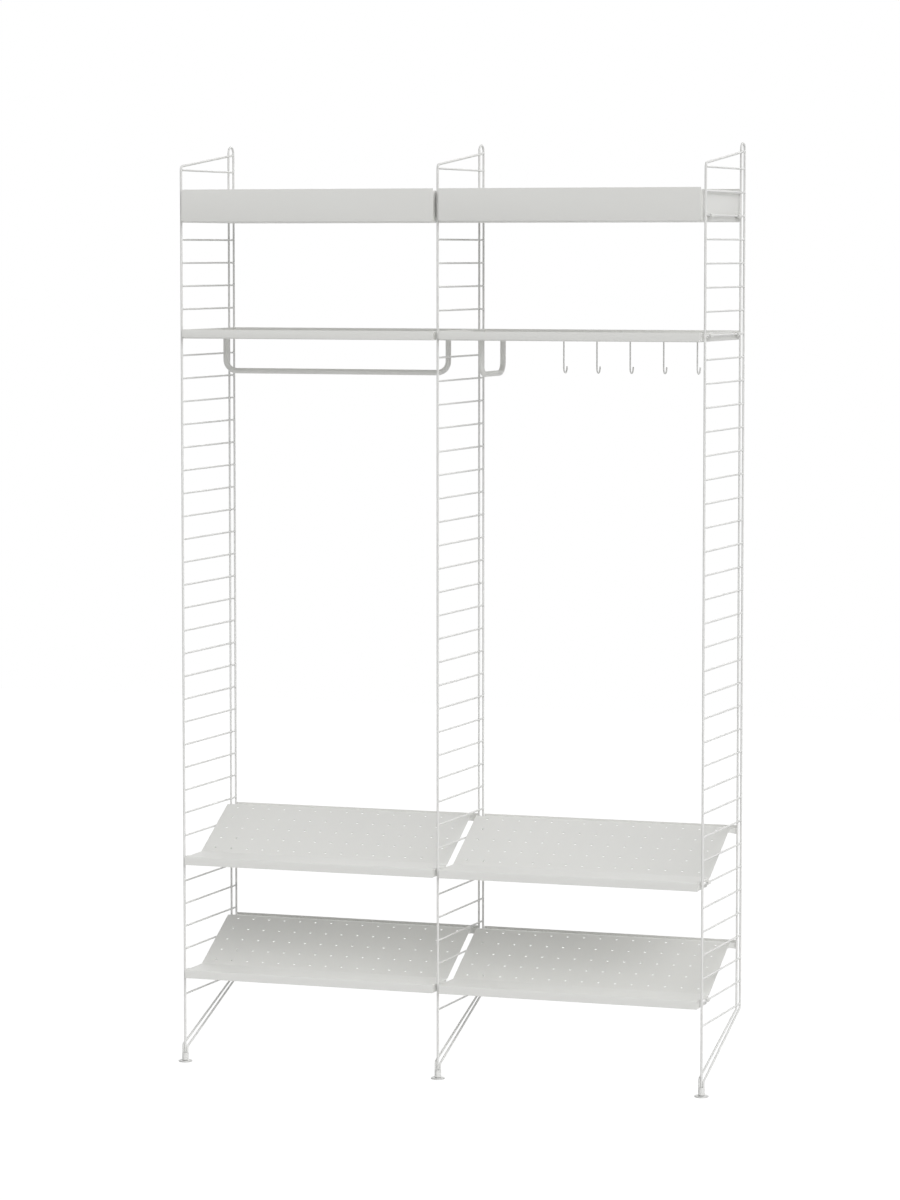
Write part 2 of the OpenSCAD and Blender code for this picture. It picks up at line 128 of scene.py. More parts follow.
class SheetSizes(bpy.types.PropertyGroup):
    """Sizes of the folded trays and of the lugs that hang every shelf."""

    thickness: length("Sheet", "Thickness of the sheet", 0.0012)
    end_space: length("End space", "From a panel's middle to the end of a shelf", 0.006)
    depth: length("Depth", "Depth of a shelf over its folds", 0.3)
    front_out: length("Front out", "How far a shelf stands out from the front wire", 0.014)
    tray_drop: length("Tray drop", "From a rung to the underside of a tray on it", 0.013)
    high_lip: length("High lip", "Height of a high tray's front lip", 0.071)
    low_lip: length("Low lip", "Height of a low tray's front lip", 0.0195)
    end_step: length("End step", "How much lower a high tray's end lips are", 0.0045)
    end_fold: length("End fold", "Width of the fold on a high tray's end lips", 0.005)
    fold_radius: length("Fold radius", "Inside radius of the folds", 0.0015)
    notch: length("Notch", "Relief cut in the sheet where two folds meet", 0.003)
    lug_width: length("Lug width", "Width of a lug", 0.02)
    lug_reach: length("Lug reach", "Reach of a lug past the end of its shelf", 0.01)
    lug_tip: length("Lug tip", "Depth of a lug's turned-down tip", 0.007)
    lug_height: length("Lug height", "Underside of a lug above its rung's middle", 0.0023)
    window: length("Lug window", "Height of the window that a lug is cut from", 0.007)
    front_lug: length("Front lug", "Middle of the front lugs, behind the front wire", 0.04)
    rear_lug: length("Rear lug", "Middle of the rear lugs, behind the front wire", 0.252)
    stagger: length("Stagger", "Offset between the lugs of neighbouring shelves", 0.026)


class ShoeSizes(bpy.types.PropertyGroup):
    """Sizes of the tilted, perforated shoe shelves."""

    toe_rise: length("Toe rise", "Height of the flat front part above the rung", 0.0055)
    toe_lip: length("Toe lip", "Height of the front lip", 0.018)
    toe_depth: length("Toe depth", "Depth of the flat front part", 0.093)
    toe_radius: length("Toe radius", "Inside radius of the soft fold", 0.01)
    crest_rise: length("Crest rise", "Height of the crest above the front rung", 0.092)
    crest_depth: length("Crest depth", "Depth from the front to the crest", 0.246)
    heel_drop: length("Heel drop", "Drop from the crest to the rear edge", 0.008)
    heel_lip: length("Heel lip", "Height of the lip along the rear edge", 0.006)
    heel_flange: length("Heel flange", "Depth of the end flanges under the heel", 0.013)
    heel_run: length("Heel run", "Run of the heel's flanges down the slope", 0.015)
    hole: length("Hole", "Diameter of a hole", 0.005)
    hole_pitch: length("Hole pitch", "Distance between two holes, both ways", 0.0372)
    hole_start: length("Hole start", "From the soft fold to the first row", 0.016)
    columns: IntProperty(name="Columns", description="Holes along a shelf", default=15, min=1)
    rows: IntProperty(name="Rows", description="Holes up the slope", default=5, min=1)


class FittingSizes(bpy.types.PropertyGroup):
    """Sizes of the rails, their screws and the coat hooks."""

    tube: length("Rail tube", "Outside diameter of the rails", 0.012)
    tube_bend: length("Rail bend", "Centre line radius of the rails' bends", 0.025)
    rail_drop: length("Rail drop", "From the tray's underside to the bar's middle", 0.0735)
    wide: length("Hanging rail width", "Between the legs of the hanging rail", 0.52)
    wide_y: length("Hanging rail place", "Distance behind the front wire", 0.165)
    narrow: length("Side rail width", "Between the legs of the side rail", 0.143)
    narrow_y: length("Side rail middle", "Distance behind the front wire", 0.134)
    narrow_x: length("Side rail place", "Distance from the middle panel", 0.076)
    screw: length("Screw", "Thread diameter of the rail screws", 0.005)
    screw_length: length("Screw length", "Length of a screw under its head", 0.014)
    screw_head: length("Screw head", "Diameter of a screw's head", 0.01)
    screw_head_height: length("Screw head height", "Height of a screw's head", 0.0026)
    hook_pitch: length("Hook pitch", "Distance between two hooks", 0.0746)
    hook_y: length("Hook place", "Distance behind the front wire", 0.187)
    hook_wire: length("Hook wire", "Thickness of the hook wire", 0.0032)
    hook_drop: length("Hook drop", "From the tray's underside to a hook's bottom", 0.0735)
    hook_bend: length("Hook bend", "Centre line radius of a hook's bend", 0.011)
    hook_tip: length("Hook tip", "Length of the straight tip past the bend", 0.0013)
    hook_head: length("Hook head", "Diameter of the head in the tray", 0.01)
    hook_head_height: length("Hook head height", "Thickness of the head", 0.0016)


class FinishColours(bpy.types.PropertyGroup):
    """Colours of the powder coat and of the bare metal."""

    wire: colour("Wire coat", "Powder coat of the wires and hooks", (0.8, 0.8, 0.785, 1.0))
    sheet: colour("Sheet coat", "Powder coat of the trays and shoe shelves", (0.81, 0.81, 0.785, 1.0))
    rail: colour("Rail coat", "Powder coat of the two rails", (0.81, 0.81, 0.785, 1.0))
    foot: colour("Foot", "Zinc-coated foot disc and stem", (0.62, 0.62, 0.61, 1.0))
    steel: colour("Screw steel", "Bare steel of the screws and plugs", (0.56, 0.56, 0.55, 1.0))
    floor: colour("Floor", "The pale studio floor", (0.9, 0.9, 0.9, 1.0))
    coat_roughness: FloatProperty(name="Coat roughness", description="Roughness of the powder coat",
                                  default=0.46, min=0.0, max=1.0, subtype="FACTOR")


class StudioLevels(bpy.types.PropertyGroup):
    """Levels of the studio's lamps and of its white surround."""

    front_high: level("Front lamp", "Strength of the soft lamp high in front", 0.35)
    top: level("Top lamp", "Strength of the soft lamp overhead", 0.155)
    right_front: level("Key lamp", "Strength of the soft lamp at the front right", 1.089)
    right_high: level("Side lamp", "Strength of the soft lamp high at the right", 0.594)
    back: level("Back lamp", "Strength of the soft lamp behind", 0.581)
    fill: level("Surround", "Strength of the light from all round", 0.25)


def chosen(group):
    """The user's sizes, colours or levels of one group."""
    return getattr(bpy.context.scene, f"hall_{group}")


# Finishes


class Shade:
    """One output in a shader. Sums, differences and products of it add Math nodes."""

    def __init__(self, tree, socket=None):
        self.tree, self.socket = tree, socket

    def node(self, kind, settings=None, values=None, out=0):
        """Adds a node with its settings, and with values or links for its sockets."""
        made = self.tree.nodes.new(kind)
        for key, value in (settings or {}).items():
            setattr(made, key, value)
        for key, value in (values or {}).items():
            if isinstance(value, Shade):
                self.tree.links.new(value.socket, made.inputs[key])
            else:
                made.inputs[key].default_value = value
        return Shade(self.tree, made.outputs[out])

    def math(self, operation, a, b):
        return self.node("ShaderNodeMath", {"operation": operation}, {0: a, 1: b})

    def __add__(self, other):
        return self.math("ADD", self, other)

    def __radd__(self, other):
        return self.math("ADD", other, self)

    def __sub__(self, other):
        return self.math("SUBTRACT", self, other)

    def __rsub__(self, other):
        return self.math("SUBTRACT", other, self)

    def __mul__(self, other):
        return self.math("MULTIPLY", self, other)

    def __rmul__(self, other):
        return self.math("MULTIPLY", other, self)


def clouded(start, cloud, tint, share):
    """A colour that drifts to a tone which is darker by a share of it."""
    dark = (tint[0] * (1 - share), tint[1] * (1 - share), tint[2] * (1 - share), 1.0)
    return start.node("ShaderNodeMix", {"data_type": "RGBA"}, {0: cloud, 6: dark, 7: tuple(tint)}, 2)


def new_finish(name):
    """An empty finish: its material, its shader and a starting point for its nodes."""
    finish = bpy.data.materials.new(name)
    finish.use_nodes = True
    return finish, finish.node_tree.nodes["Principled BSDF"], Shade(finish.node_tree)


def connect(finish, surface, **shades):
    """Links shades to the sockets of a finish's surface."""
    for name, shade in shades.items():
        finish.node_tree.links.new(shade.socket, surface.inputs[name.replace("_", " ")])


def powder_coat(name, tint, peel_scale=620.0, peel_depth=0.00007):
    """Satin powder coat: a fine orange peel, with a faint drift in tone and sheen."""
    finish, surface, start = new_finish(name)
    place = start.node("ShaderNodeTexCoord", out="Object")
    peel = start.node("ShaderNodeTexNoise", None,
                      {"Vector": place, "Scale": peel_scale, "Detail": 2.0, "Roughness": 0.45})
    specks = start.node("ShaderNodeTexNoise", None,
                        {"Vector": place, "Scale": peel_scale * 3.1, "Detail": 1.0})
    drift = start.node("ShaderNodeTexNoise", None, {"Vector": place, "Scale": 9.0, "Detail": 3.0})
    tone = drift * 0.6 + specks * 0.4
    mixed = clouded(start, tone, tint, 0.03)
    sheen = chosen("finish").coat_roughness + (drift - 0.5) * 0.1 + (peel - 0.5) * 0.12
    relief = start.node("ShaderNodeBump", None,
                        {"Strength": 0.5, "Distance": peel_depth, "Height": peel + specks * 0.25})
    connect(finish, surface, Base_Color=mixed, Roughness=sheen, Normal=relief)
    surface.inputs["Specular IOR Level"].default_value = 0.4
    return finish


def turned_steel(name, tint, metal, ring_scale=2600.0):
    """Zinc-coated steel: fine tool rings and a dull, slightly cloudy sheen."""
    finish, surface, start = new_finish(name)
    place = start.node("ShaderNodeTexCoord", out="Object")
    rings = start.node("ShaderNodeTexWave", {"wave_type": "BANDS", "bands_direction": "Z"},
                       {"Vector": place, "Scale": ring_scale / 6.0, "Distortion": 0.6}, "Fac")
    cloud = start.node("ShaderNodeTexNoise", None, {"Vector": place, "Scale": 240.0, "Detail": 3.0})
    mixed = clouded(start, cloud, tint, 0.14)
    dull = 0.34 + cloud * 0.16
    relief = start.node("ShaderNodeBump", None, {"Strength": 0.4, "Distance": 0.00004, "Height": rings})
    connect(finish, surface, Base_Color=mixed, Roughness=dull, Normal=relief)
    surface.inputs["Metallic"].default_value = metal
    return finish


def white_surround(tree):
    """1 for rays that see the studio straight, in gloss or through glass, 0 for the rest."""
    start = Shade(tree)
    paths = [start.node("ShaderNodeLightPath", out=f"Is {ray} Ray") for ray in ("Camera", "Glossy", "Transmission")]
    return start.math("MAXIMUM", start.math("MAXIMUM", paths[0], paths[1]), paths[2])


def floor_finish(tint):
    """A pale floor that looks almost white and still takes the object's shadow."""
    finish = bpy.data.materials.new("studio_floor")
    finish.use_nodes = True
    tree = finish.node_tree
    tree.nodes.clear()
    start = Shade(tree)
    place = start.node("ShaderNodeTexCoord", out="Object")
    cloud = start.node("ShaderNodeTexNoise", None, {"Vector": place, "Scale": 2.0})
    mixed = clouded(start, cloud, tint, 0.01)
    matt = start.node("ShaderNodeBsdfDiffuse", None, {"Color": mixed})
    glow = start.node("ShaderNodeEmission", None, {"Color": (1.0, 1.0, 1.0, 1.0), "Strength": 1.12})
    both = start.node("ShaderNodeMixShader", None, {0: white_surround(tree) * 0.85, 1: matt, 2: glow})
    end = tree.nodes.new("ShaderNodeOutputMaterial")
    tree.links.new(both.socket, end.inputs["Surface"])
    return finish


def finish_named(name):
    """The finish of that name, made the first time that it is asked for."""
    if name in bpy.data.materials:
        return bpy.data.materials[name]
    tints = chosen("finish")
    if name == "wire_powder_coat":
        return powder_coat(name, tints.wire, 760.0, 0.00005)
    if name == "sheet_powder_coat":
        return powder_coat(name, tints.sheet)
    if name == "rail_powder_coat":
        return powder_coat(name, tints.rail, 700.0, 0.00006)
    if name == "foot_zinc":
        return turned_steel(name, tints.foot, 0.25)
    return turned_steel(name, tints.steel, 0.85)


# Modelling by hand


def choose(*pieces):
    """Selects these pieces and nothing else, with the first of them active."""
    bpy.ops.object.select_all(action="DESELECT")
    for piece in pieces:
        piece.select_set(True)
    bpy.context.view_layer.objects.active = pieces[0]


def edit(piece):
    """Opens one piece, and nothing else, for editing."""
    choose(piece)
    bpy.ops.object.mode_set(mode="EDIT")


def close():
    """Ends editing."""
    bpy.ops.object.mode_set(mode="OBJECT")


def settle():
    """Puts the new primitive's place, turn and size into its mesh."""
    bpy.ops.object.transform_apply(location=True, rotation=True, scale=True)
    return bpy.context.object


def start_sheet(place, width, depth, turn=(0.0, 0.0, 0.0)):
    """A flat sheet at its place and size, open for editing."""
    bpy.ops.mesh.primitive_plane_add(size=1.0, location=place, rotation=turn)
    bpy.context.object.scale = (width, depth, 1.0)
    sheet = settle()
    edit(sheet)
    return sheet


def pick(kind, x=None, y=None, z=None, more=False):
    """Selects the faces, edges or vertices that lie wholly between the limits given."""
    bpy.ops.mesh.select_mode(type={"faces": "FACE", "edges": "EDGE", "verts": "VERT"}[kind])
    if not more:
        bpy.ops.mesh.select_all(action="DESELECT")
    mesh = bpy.context.edit_object.data
    grid = bmesh.from_edit_mesh(mesh)
    slack = 0.00002
    limits = [(axis, span[0] - slack, span[1] + slack) for axis, span in enumerate((x, y, z)) if span]
    found = 0
    for item in getattr(grid, kind):
        corners = [item] if kind == "verts" else item.verts
        if all(low <= corner.co[axis] <= high for corner in corners for axis, low, high in limits):
            item.select_set(True)
            found += 1
    if not found:
        raise RuntimeError(f"no {kind} at {x}, {y}, {z}")
    bmesh.update_edit_mesh(mesh)


def at(value):
    """Both limits of an exact place."""
    return (value, value)


def extrude(x=0.0, y=0.0, z=0.0):
    """Extrudes the selection along a vector."""
    bpy.ops.mesh.extrude_region_move(TRANSFORM_OT_translate={"value": (x, y, z)})


def shift(x=0.0, y=0.0, z=0.0):
    """Moves the selection."""
    bpy.ops.transform.translate(value=(x, y, z))


def cut(axis, place):
    """Cuts the selection at a place along an axis."""
    way = Vector([axis == name for name in "XYZ"])
    bpy.ops.mesh.bisect(plane_co=way * place, plane_no=way)


def round_folds(radius, turn=math.pi / 2, steps=4):
    """Gives the selected folds their radius, for a sheet that turns by an angle there."""
    bpy.ops.mesh.bevel(offset=radius * math.tan(turn / 2), offset_type="OFFSET", segments=steps, affect="EDGES")


def make_sound(piece):
    """Merges doubles and turns the faces outwards."""
    edit(piece)
    bpy.ops.mesh.select_all(action="SELECT")
    bpy.ops.mesh.remove_doubles(threshold=HAIR)
    bpy.ops.mesh.normals_make_consistent(inside=False)
    close()


def tidy(piece, angle=40):
    """Makes a piece sound and smooths it up to an angle."""
    make_sound(piece)
    bpy.ops.object.shade_smooth_by_angle(angle=math.radians(angle))


def use_modifier(piece, kind, **settings):
    """Adds a modifier to a piece and applies it."""
    choose(piece)
    step = piece.modifiers.new(kind.lower(), kind)
    for key, value in settings.items():
        setattr(step, key, value)
    bpy.ops.object.modifier_apply(modifier=step.name)


def repeat(piece, count, step):
    """Repeats a piece along a vector."""
    use_modifier(piece, "ARRAY", count=count, use_relative_offset=False, use_constant_offset=True,
                 constant_offset_displace=step)


def join(pieces):
    """Joins pieces into the first of them."""
    choose(*pieces)
    bpy.ops.object.join()
    return pieces[0]


def copy_piece(piece, x=0.0, y=0.0, z=0.0):
    """A copy with its own mesh, moved along a vector."""
    twin = piece.copy()
    twin.data = piece.data.copy()
    bpy.context.scene.collection.objects.link(twin)
    twin.location = (x, y, z)
    choose(twin)
    bpy.ops.object.transform_apply(location=True, rotation=False, scale=False)
    return twin


def hand_over(piece, name, body, slot, finish, *nodes):
    """Names a finished piece and puts it on its body in place of its CAD nodes."""
    piece.name = piece.data.name = name
    piece.data.materials.clear()
    piece.data.materials.append(finish_named(finish))
    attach(piece, body)
    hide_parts(*nodes)


def start_disc(place, radius, sides, turn):
    """A disc at its place, open for editing with its face selected."""
    bpy.ops.mesh.primitive_circle_add(vertices=sides, radius=radius, fill_type="NGON", location=place, rotation=turn)
    disc = settle()
    edit(disc)
    bpy.ops.mesh.select_mode(type="FACE")
    bpy.ops.mesh.select_all(action="SELECT")
    return disc


def bent_wire(points, radii, thickness, sides=20, steps=10):
    """A round wire: a disc drawn out along each straight and spun round each bend."""
    points = [Vector(p) for p in points]
    aim = (points[1] - points[0]).normalized()
    wire = start_disc(points[0], thickness / 2, sides, aim.to_track_quat("Z", "Y").to_euler())
    here = points[0]
    for before, corner, after, radius in zip(points, points[1:], points[2:] + [None], radii + [0.0]):
        aim = (corner - before).normalized()
        if after is None:
            extrude(*(corner - here))
            break
        turned = (after - corner).normalized()
        angle = aim.angle(turned)
        take = radius * math.tan(angle / 2)
        extrude(*(corner - aim * take - here))
        inward = (turned - aim * aim.dot(turned)).normalized()
        bpy.ops.mesh.spin(steps=steps, angle=angle, center=corner - aim * take + inward * radius,
                          axis=inward.cross(aim))
        here = corner + turned * take
    close()
    return wire


def turned_piece(base, profile, sides=32, axis="Z"):
    """A turned piece: a disc drawn out and resized ring by ring. profile holds (height, radius)."""
    up, turn = {"Z": (Vector((0, 0, 1)), 0.0), "Y": (Vector((0, 1, 0)), -math.pi / 2)}[axis]
    piece = start_disc(base, profile[0][1], sides, (turn, 0.0, 0.0))
    for (low, before), (high, after) in zip(profile, profile[1:]):
        extrude(*(up * (high - low)))
        scale = after / before
        bpy.ops.transform.resize(value=(scale, scale, scale),
                                 center_override=Vector(base) + up * (high - profile[0][0]))
    close()
    return piece


# The wire panels


def weld_on(piece, name, panel, node):
    """Hands over a piece that is welded to a wire panel."""
    hand_over(piece, f"{name}_{panel}", "wire_panels", "wire_coat", "wire_powder_coat", f"{panel}_{node}")


def rung_height(count_down):
    """Height of a rung, counted down from the top one."""
    size = chosen("panel")
    return size.lowest_rung + (size.rung_count - 1 - count_down) * size.rung_pitch


class HALL_OT_front_wires(bpy.types.Operator):
    """Bends the front wire of each panel, with the sloping wire along its top"""

    bl_idname = "hall.front_wires"
    bl_label = "Front wires"

    def execute(self, context):
        size = chosen("panel")
        corner = rung_height(0) + size.corner_rise
        for panel, x in PANELS.items():
            wire = bent_wire(
                [(x, WIRE_LINE, size.wire_foot), (x, WIRE_LINE, corner),
                 (x, WIRE_LINE + size.depth, corner + size.top_rise)],
                [size.corner_radius], size.front_wire, 24, 12)
            tidy(wire)
            weld_on(wire, "front_wire", panel, "front_wire")
        return {"FINISHED"}


class HALL_OT_rear_hairpins(bpy.types.Operator):
    """Bends the rear hairpin of each panel, from one foot over the crown to the other"""

    bl_idname = "hall.rear_hairpins"
    bl_label = "Rear hairpins"

    def execute(self, context):
        size = chosen("panel")
        rear = WIRE_LINE + size.depth
        front = rear - size.loop_gap
        side = (size.front_wire + size.rear_wire) / 2
        crown = rung_height(0) + size.crown_rise
        bend = size.lowest_rung - size.bend_drop
        leg, loop = size.leg_radius, size.loop_gap / 2 - HAIR
        for panel, x in PANELS.items():
            wire = bent_wire(
                [(x - side, WIRE_LINE, size.wire_foot), (x - side, WIRE_LINE, size.knee), (x, front, bend),
                 (x, front, crown), (x, rear, crown), (x, rear, bend - size.bend_step),
                 (x + side, WIRE_LINE, size.knee - size.knee_step), (x + side, WIRE_LINE, size.wire_foot)],
                [leg, leg, loop, loop, leg, leg], size.rear_wire, 20, 8)
            tidy(wire)
            weld_on(wire, "rear_hairpin", panel, "rear_hairpin")
        return {"FINISHED"}


class HALL_OT_rungs(bpy.types.Operator):
    """Draws one rung with its weld collars and repeats it up each panel"""

    bl_idname = "hall.rungs"
    bl_label = "Rungs"

    def execute(self, context):
        size = chosen("panel")
        r = size.rung_wire / 2
        rear = size.depth
        middle_leg = rear - size.loop_gap
        collar, flare = r * 1.3, r * 1.06
        half = size.rear_wire / 2
        profile = [(0.0005, collar)]
        for near, past in ((None, size.front_wire / 2), (middle_leg - half, middle_leg + half), (rear - half, None)):
            if near:
                profile += [(near - WELD_REACH - WELD_TAPER, r), (near - WELD_REACH, flare), (near, collar)]
            if past:
                profile += [(past, collar), (past + WELD_REACH, flare), (past + WELD_REACH + WELD_TAPER, r)]
        for panel, x in PANELS.items():
            rung = turned_piece((x, WIRE_LINE + profile[0][0], size.lowest_rung), profile, 14, "Y")
            repeat(rung, size.rung_count, (0.0, 0.0, size.rung_pitch))
            tidy(rung)
            weld_on(rung, "rung_set", panel, "rungs")
        return {"FINISHED"}


class HALL_OT_foot_sleeves(bpy.types.Operator):
    """Turns the sleeve under each panel: a short tube with softened rims"""

    bl_idname = "hall.foot_sleeves"
    bl_label = "Foot sleeves"

    def execute(self, context):
        size = chosen("panel")
        top = size.wire_foot
        low = top - size.sleeve_height
        wall = (size.sleeve - size.sleeve_bore) / 2
        for panel, x in PANELS.items():
            bpy.ops.mesh.primitive_cylinder_add(vertices=40, radius=size.sleeve / 2, depth=size.sleeve_height,
                                                location=(x, WIRE_LINE, (top + low) / 2))
            sleeve = settle()
            edit(sleeve)
            pick("faces", z=at(top))
            pick("faces", z=at(low), more=True)
            bpy.ops.mesh.inset(thickness=wall)
            bpy.ops.mesh.bridge_edge_loops()
            close()
            tidy(sleeve)
            use_modifier(sleeve, "BEVEL", width=0.0005, segments=3, limit_method="ANGLE")
            bpy.ops.object.shade_smooth_by_angle(angle=math.radians(40))
            weld_on(sleeve, "foot_sleeve", panel, "foot_sleeve")
        return {"FINISHED"}


class HALL_OT_levelling_feet(bpy.types.Operator):
    """Turns each levelling foot: a rounded disc with a threaded stem"""

    bl_idname = "hall.levelling_feet"
    bl_label = "Levelling feet"

    def execute(self, context):
        size = chosen("panel")
        disc, rim, stem = size.disc / 2, size.disc_height, size.stem / 2
        top = size.wire_foot - 0.0008
        profile = [(0.0, disc - 0.0007), (0.0002, disc - 0.0002), (0.0007, disc), (rim - 0.0008, disc),
                   (rim - 0.0002, disc - 0.0003), (rim, disc - 0.001), (rim, stem + 0.0002),
                   (rim + 0.0002, stem - 0.0003)]
        root = stem - THREAD_DEPTH
        height = rim + 0.0005
        while height < top - 0.001:
            profile += [(height, stem), (height + 0.0002, stem), (height + 0.0006, root), (height + 0.0007, root)]
            height += THREAD_PITCH
        profile += [(top - 0.0004, root), (top, stem - 0.0009)]
        for panel, x in PANELS.items():
            foot = turned_piece((x, WIRE_LINE, 0.0), profile, 40)
            tidy(foot, 35)
            hand_over(foot, f"foot_{panel}", f"foot_{panel}", "foot_metal", "foot_zinc", f"{panel}_levelling_foot")
        return {"FINISHED"}


# The folded shelves


def lug_fold(y, z):
    """Ends and height of a lug's fold over its rung."""
    size = chosen("sheet")
    return (y - size.lug_width / 2, y + size.lug_width / 2), z + size.lug_height + size.thickness / 2


def hang_lug(x, out, y, z):
    """Cuts a lug's window in an end lip at x and folds the lug out over the rung."""
    size = chosen("sheet")
    span, high = lug_fold(y, z)
    low = z + size.lug_height - size.window
    for place in span:
        pick("faces", x=at(x))
        cut("Y", place)
    for place in (low, high):
        pick("faces", x=at(x))
        cut("Z", place)
    pick("faces", x=at(x), y=span, z=(low, high))
    bpy.ops.mesh.delete(type="FACE")
    pick("edges", x=at(x), y=span, z=at(high))
    fold_lug(out)


def fold_lug(out):
    """Folds the selected edge out over the rung and turns its tip down."""
    size = chosen("sheet")
    extrude(x=out * size.lug_reach)
    extrude(z=-(size.lug_tip - size.thickness / 2))


def round_lug(x, out, y, z, radius=LUG_FOLD):
    """Rounds the two folds of a lug."""
    size = chosen("sheet")
    span, high = lug_fold(y, z)
    pick("edges", x=at(x), y=span, z=at(high))
    pick("edges", x=at(x + out * size.lug_reach), y=span, z=at(high), more=True)
    round_folds(radius, steps=3)


def hang_up(piece, name, shelf):
    """Hands over a shelf, which is a body of its own."""
    hand_over(piece, name, shelf, "sheet_coat", "sheet_powder_coat", shelf)


def give_thickness(sheet):
    """Turns a folded surface into sheet steel with softened edges."""
    size = chosen("sheet")
    make_sound(sheet)
    use_modifier(sheet, "SOLIDIFY", thickness=size.thickness, offset=0.0, use_even_offset=True)
    use_modifier(sheet, "BEVEL", width=0.0003, segments=2, limit_method="ANGLE", angle_limit=math.radians(50))


def drill(sheet, drills):
    """Cuts the drills out of a sheet and removes them."""
    tool = join(drills)
    use_modifier(sheet, "BOOLEAN", operation="DIFFERENCE", solver="EXACT", object=tool)
    bpy.data.objects.remove(tool)


def lug_places(front_shift, rungs_up=0):
    """End, way out, distance behind the front wire and height of the lugs of a shelf."""
    size = chosen("sheet")
    up = rungs_up * chosen("panel").rung_pitch
    return [(1, size.front_lug, 0.0), (1, size.rear_lug, up),
            (-1, size.front_lug + front_shift, 0.0), (-1, size.rear_lug - size.stagger, up)]


def fold_tray(side, rung, lip, end_top, top_fold):
    """Folds a tray: front and rear lips, end lips with their lugs, and relief cuts at the corners."""
    size = chosen("sheet")
    half = size.thickness / 2
    reach = SPACING / 2 - size.end_space
    x0, x1 = BAYS[side] - reach, BAYS[side] + reach
    y0 = WIRE_LINE - size.front_out
    y1 = y0 + size.depth
    rung_z = rung_height(rung)
    low = rung_z - size.tray_drop
    base = low + half
    ends = {-1: x0 + half, 1: x1 - half}
    fronts = {-1: y0 + half, 1: y1 - half}
    tray = start_sheet(((x0 + x1) / 2, (y0 + y1) / 2, base), ends[1] - ends[-1], fronts[1] - fronts[-1])
    for way, x in ends.items():
        bpy.ops.mesh.select_all(action="SELECT")
        cut("X", x - way * size.notch)
    for way, y in fronts.items():
        bpy.ops.mesh.select_all(action="SELECT")
        cut("Y", y - way * size.notch)
    for way, x in ends.items():
        for turn, y in fronts.items():
            pick("faces", x=sorted((x, x - way * size.notch)), y=sorted((y, y - turn * size.notch)))
            bpy.ops.mesh.delete(type="FACE")
    # Front and rear lips, wider above the relief cuts
    top = low + lip
    for turn, y in fronts.items():
        pick("edges", y=at(y), z=at(base))
        extrude(z=size.notch)
        extrude(z=top - base - size.notch)
        for way, x in ends.items():
            pick("edges", x=at(x - way * size.notch), y=at(y), z=(base + size.notch, top))
            extrude(x=way * (size.notch + half))
    # End lips, which reach to just behind the front and rear lips
    for way, x in ends.items():
        pick("edges", x=at(x), z=at(base))
        extrude(z=size.notch)
        extrude(z=end_top - base - size.notch)
        for turn, y in fronts.items():
            pick("edges", x=at(x), y=at(y - turn * size.notch), z=(base + size.notch, end_top))
            extrude(y=turn * (size.notch - half - CORNER_GAP))
        if top_fold:
            pick("edges", x=at(x), z=at(end_top))
            extrude(x=-way * (top_fold - half))
    lugs = [(ends[way], way, WIRE_LINE + y, rung_z + z) for way, y, z in lug_places(size.stagger)]
    for lug in lugs:
        hang_lug(*lug)
    pick("edges", y=at(fronts[-1]), z=at(base))
    pick("edges", y=at(fronts[1]), z=at(base), more=True)
    for x in ends.values():
        pick("edges", x=at(x), z=at(base), more=True)
    round_folds(size.fold_radius + half)
    if top_fold:
        pick("edges", x=at(ends[-1]), z=at(end_top))
        pick("edges", x=at(ends[1]), z=at(end_top), more=True)
        round_folds(0.0014, steps=3)
    for lug in lugs:
        round_lug(*lug)
    close()
    give_thickness(tray)
    return tray


class HALL_OT_high_trays(bpy.types.Operator):
    """Folds the two high trays"""

    bl_idname = "hall.high_trays"
    bl_label = "High trays"

    def execute(self, context):
        size = chosen("sheet")
        for side in BAYS:
            end_top = rung_height(HIGH_TRAY_RUNG) - size.tray_drop + size.high_lip - size.end_step - size.thickness / 2
            tray = fold_tray(side, HIGH_TRAY_RUNG, size.high_lip, end_top, size.end_fold)
            tidy(tray, 30)
            hang_up(tray, f"tray_high_{side}", f"high_tray_{side}")
        return {"FINISHED"}


def low_tray_floor():
    """Heights of the low trays' underside and of their floor inside."""
    size = chosen("sheet")
    under = rung_height(LOW_TRAY_RUNG) - size.tray_drop
    return under, under + size.thickness


def hook_places():
    """Where the hooks hang along the right bay."""
    return [BAYS["right"] + (i - 1) * chosen("fitting").hook_pitch for i in range(5)]


def rail_feet(rail):
    """Where the two legs of a rail meet their tray."""
    size = chosen("fitting")
    if rail == "hanging_rail":
        return [(BAYS["left"] + s * size.wide / 2, WIRE_LINE + size.wide_y) for s in (-1, 1)]
    return [(size.narrow_x, WIRE_LINE + size.narrow_y + s * size.narrow / 2) for s in (-1, 1)]


class HALL_OT_low_trays(bpy.types.Operator):
    """Folds the two low trays and drills them for the rails and the hooks"""

    bl_idname = "hall.low_trays"
    bl_label = "Low trays"

    def execute(self, context):
        size = chosen("sheet")
        fit = chosen("fitting")
        low, _ = low_tray_floor()
        for side, rail in (("left", "hanging_rail"), ("right", "side_rail")):
            tray = fold_tray(side, LOW_TRAY_RUNG, size.low_lip, low + size.low_lip, 0.0)
            places = [(x, y, fit.screw / 2 + 0.00005) for x, y in rail_feet(rail)]
            if side == "right":
                places += [(x, WIRE_LINE + fit.hook_y, fit.hook_wire / 2 + 0.0003) for x in hook_places()]
            drills = []
            for x, y, radius in places:
                bpy.ops.mesh.primitive_cylinder_add(vertices=24, radius=radius, depth=DRILL_LENGTH,
                                                    location=(x, y, low))
                drills.append(settle())
            drill(tray, drills)
            tidy(tray, 30)
            hang_up(tray, f"tray_low_{side}", f"low_tray_{side}")
        return {"FINISHED"}


